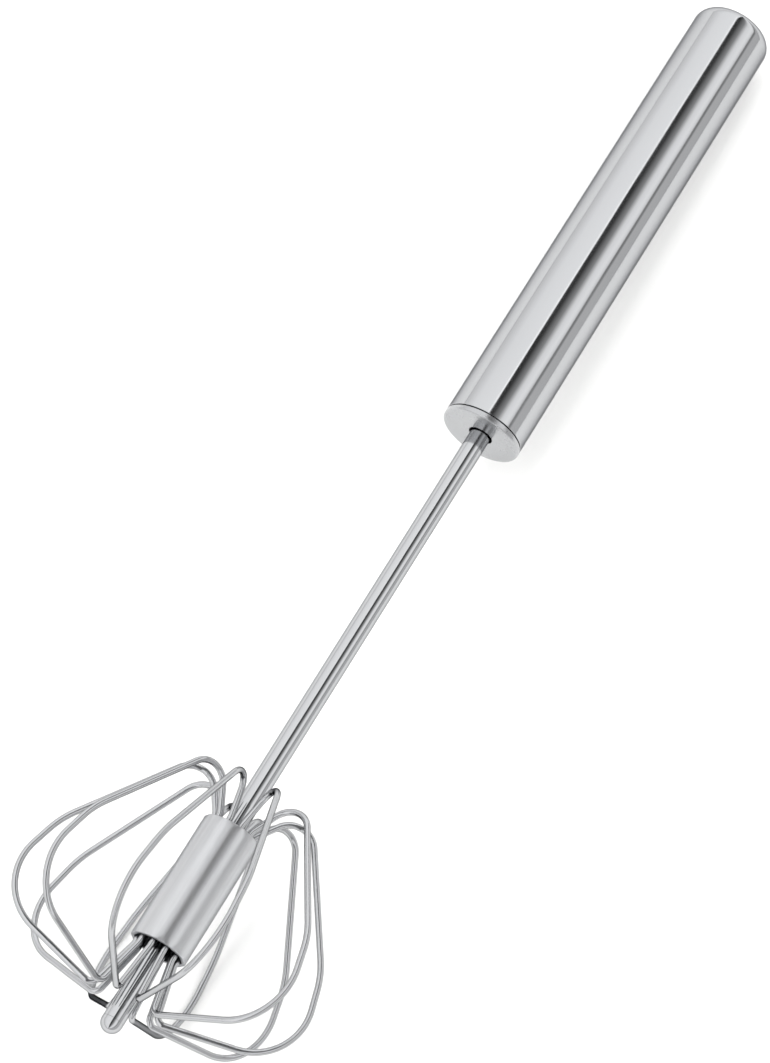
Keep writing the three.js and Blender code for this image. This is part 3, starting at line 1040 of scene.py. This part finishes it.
# Light of the studio by the angle about the whisk's axis, in degrees from the side that is seen.
# The gap over the camera is dark, as in a tent of white cloth with an opening to look through.
TENT = [
    (-180, 0.62),
    (-100, 0.92),
    (-60, 1.42),
    (-17, 1.50),
    (-14, 2.4),
    (-12, 0.04),
    (-3, 0.07),
    (14, 0.45),
    (26, 1.32),
    (40, 1.48),
    (49, 1.25),
    (52, 0.32),
    (56, 0.36),
    (60, 0.80),
    (100, 0.76),
    (180, 0.62),
]


def make_tent(sizes):
    """Soft light from all sides, with the opening of a light tent above the whisk."""
    world = bpy.data.worlds.new("studio_tent")
    bpy.context.scene.world = world
    world.use_nodes = True
    tree = world.node_tree
    tree.nodes.clear()
    facing = Matrix.Rotation(-sizes.turn, 3, "Z") @ TO_WHISK.to_3x3()
    where = add(tree, "ShaderNodeTexCoord")
    wires = {"Vector": where.outputs["Generated"], "Rotation": facing.to_euler()}
    turned_in = add(tree, "ShaderNodeMapping", wires)
    axes = add(tree, "ShaderNodeSeparateXYZ", {0: turned_in.outputs["Vector"]})
    wires = {0: axes.outputs[1], 1: axes.outputs[0]}
    about = add(tree, "ShaderNodeMath", wires, operation="ARCTAN2")
    wires = {"Value": about.outputs[0], "From Min": -math.pi, "From Max": math.pi}
    share = add(tree, "ShaderNodeMapRange", wires)
    ramp = add(tree, "ShaderNodeValToRGB", {0: share.outputs["Result"]})
    stops = ramp.color_ramp.elements
    brightest = max(light for degrees, light in TENT)
    for i, (degrees, light) in enumerate(TENT):
        stop = stops[i] if i < 2 else stops.new((degrees + 180) / 360)
        stop.position = (degrees + 180) / 360
        value = light / brightest
        stop.color = (value, value, value, 1)
    wires = {"Color": ramp.outputs["Color"], "Strength": brightest}
    light = add(tree, "ShaderNodeBackground", wires)
    add(tree, "ShaderNodeOutputWorld", {"Surface": light.outputs[0]})


def make_lamp():
    """A wide soft lamp above, which lights the floor."""
    data = bpy.data.lights.new("overhead_lamp", "AREA")
    data.shape = "SQUARE"
    data.size = LAMP_SIZE
    data.energy = LAMP_POWER
    lamp = linked("overhead_lamp", data)
    lamp.location = LAMP_PLACE
    lamp.visible_glossy = False


def make_camera(sizes):
    """The camera, placed by how the whisk lies in its view."""
    flat = math.cos(sizes.tilt)
    seen = Vector(
        (math.sin(sizes.lean) * flat, -math.cos(sizes.lean) * flat, math.sin(sizes.tilt))
    )
    back = Vector((0, 0, -1))
    facing = (back - seen * back.dot(seen)).normalized()
    known = math.cos(sizes.turn) * DOWN + math.sin(sizes.turn) * SIDE
    in_view = columns(seen, facing, seen.cross(facing))
    in_row = columns(AXIS, known, AXIS.cross(known))
    turned_to = in_row @ in_view.transposed()
    handle_end = WHISK @ Vector((0, 0, levels("end_cap")[0][0]))
    away = Vector((sizes.right, -sizes.up, sizes.distance))
    data = bpy.data.cameras.new("camera")
    data.sensor_width = SENSOR_WIDTH
    data.lens = sizes.focal_length
    data.clip_start = NEAREST_SEEN
    data.clip_end = FARTHEST_SEEN
    camera = linked("camera", data)
    right = turned_to @ Vector((1, 0, 0))
    up = turned_to @ Vector((0, -1, 0))
    behind = turned_to @ Vector((0, 0, -1))
    place_at = Matrix.Translation(handle_end - turned_to @ away)
    camera.matrix_world = place_at @ columns(right, up, behind).to_4x4()
    bpy.context.scene.camera = camera


# ---- Operators and panel ----


class EggBeaterOperator:
    """What the operators share."""

    bl_options = {"REGISTER", "UNDO"}

    def execute(self, context):
        self.make(context.scene.egg_beater)
        return {"FINISHED"}


class EGGBEATER_OT_handle(EggBeaterOperator, bpy.types.Operator):
    """Makes the handle tube, its cap and its bush"""

    bl_idname = "egg_beater.handle"
    bl_label = "Handle"

    def make(self, settings):
        nylon = black_nylon()
        make_handle(settings.handle)
        make_end_cap(settings.handle)
        make_bush(settings.handle, nylon)
        buffer = plain_ring("buffer_ring", "buffer_washer", 2 * settings.drive.edge_rounding)
        dress(buffer, nitrile_rubber(), "handle", "rubber", "buffer_washer")


class EGGBEATER_OT_drive(EggBeaterOperator, bpy.types.Operator):
    """Makes the twisted strip, its anchor and pin, the nut, the spring and its seat"""

    bl_idname = "egg_beater.drive"
    bl_label = "Drive"

    def make(self, settings):
        acetal = white_acetal()
        anchor = smoothed_copy("strip_anchor", "anchor_block")
        dress(anchor, acetal, "handle", "white_acetal", "strip_anchor")
        nut = smoothed_copy("drive_nut", "slotted_nut")
        dress(nut, acetal, "beater", "white_acetal", "drive_nut")
        make_strip(settings.drive)
        make_pin()
        make_spring(settings.drive)
        seat = plain_ring("spring_ring", "spring_seat", settings.drive.edge_rounding)
        dress(seat, black_nylon(), "spring_carriage", "black_nylon", "spring_seat")


class EGGBEATER_OT_shaft(EggBeaterOperator, bpy.types.Operator):
    """Makes the shaft and its rounded foot"""

    bl_idname = "egg_beater.shaft"
    bl_label = "Shaft"

    def make(self, settings):
        make_shaft(settings.handle.steel)


class EGGBEATER_OT_hub(EggBeaterOperator, bpy.types.Operator):
    """Makes the sleeve that holds the wires, and its core"""

    bl_idname = "egg_beater.hub"
    bl_label = "Hub"

    def make(self, settings):
        satin = satin_stainless(settings.hub.steel)
        sleeve = make_sleeve(settings.hub, settings.loops.loops)
        dress(sleeve, satin, "beater", "satin_steel", "hub_sleeve")
        core = plain_ring("hub_ring", "hub_core", CORE_EDGE)
        dress(core, satin, "beater", "satin_steel", "hub_core")


class EGGBEATER_OT_loops(EggBeaterOperator, bpy.types.Operator):
    """Makes the ring of wire loops"""

    bl_idname = "egg_beater.loops"
    bl_label = "Wire Loops"

    def make(self, settings):
        make_loops(settings.loops)


class EGGBEATER_OT_studio(EggBeaterOperator, bpy.types.Operator):
    """Makes the floor, the soft light and the camera"""

    bl_idname = "egg_beater.studio"
    bl_label = "Studio"

    def make(self, settings):
        make_floor(settings.studio)
        make_tent(settings.studio)
        make_lamp()
        make_camera(settings.studio)
        bpy.context.scene.view_settings.view_transform = "Standard"


class EGGBEATER_PT_panel(bpy.types.Panel):
    """Lists the egg beater's settings and the buttons that make its pieces"""

    bl_idname = "EGGBEATER_PT_panel"
    bl_label = "Egg Beater"
    bl_space_type = "VIEW_3D"
    bl_region_type = "UI"
    bl_category = "Egg Beater"

    def draw(self, context):
        settings = context.scene.egg_beater
        for operator, group in PARTS:
            box = self.layout.box()
            box.operator(operator.bl_idname)
            sizes = getattr(settings, group, None)
            for name in getattr(type(sizes), "__annotations__", {}):
                box.prop(sizes, name)


PARTS = [
    (EGGBEATER_OT_handle, "handle"),
    (EGGBEATER_OT_drive, "drive"),
    (EGGBEATER_OT_shaft, ""),
    (EGGBEATER_OT_hub, "hub"),
    (EGGBEATER_OT_loops, "loops"),
    (EGGBEATER_OT_studio, "studio"),
]
CLASSES = [
    HandleSettings,
    DriveSettings,
    HubSettings,
    LoopSettings,
    StudioSettings,
    EggBeaterSettings,
    *[operator for operator, group in PARTS],
    EGGBEATER_PT_panel,
]


def register():
    """Registers the classes and the settings."""
    for cls in CLASSES:
        bpy.utils.register_class(cls)
    bpy.types.Scene.egg_beater = bpy.props.PointerProperty(type=EggBeaterSettings)


def unregister():
    """Removes the settings and the classes."""
    del bpy.types.Scene.egg_beater
    for cls in reversed(CLASSES):
        bpy.utils.unregister_class(cls)


def main():
    """Makes the whole egg beater."""
    register()
    bpy.ops.egg_beater.handle()
    bpy.ops.egg_beater.drive()
    bpy.ops.egg_beater.shaft()
    bpy.ops.egg_beater.hub()
    bpy.ops.egg_beater.loops()
    bpy.ops.egg_beater.studio()


if __name__ == "__main__":
    main()
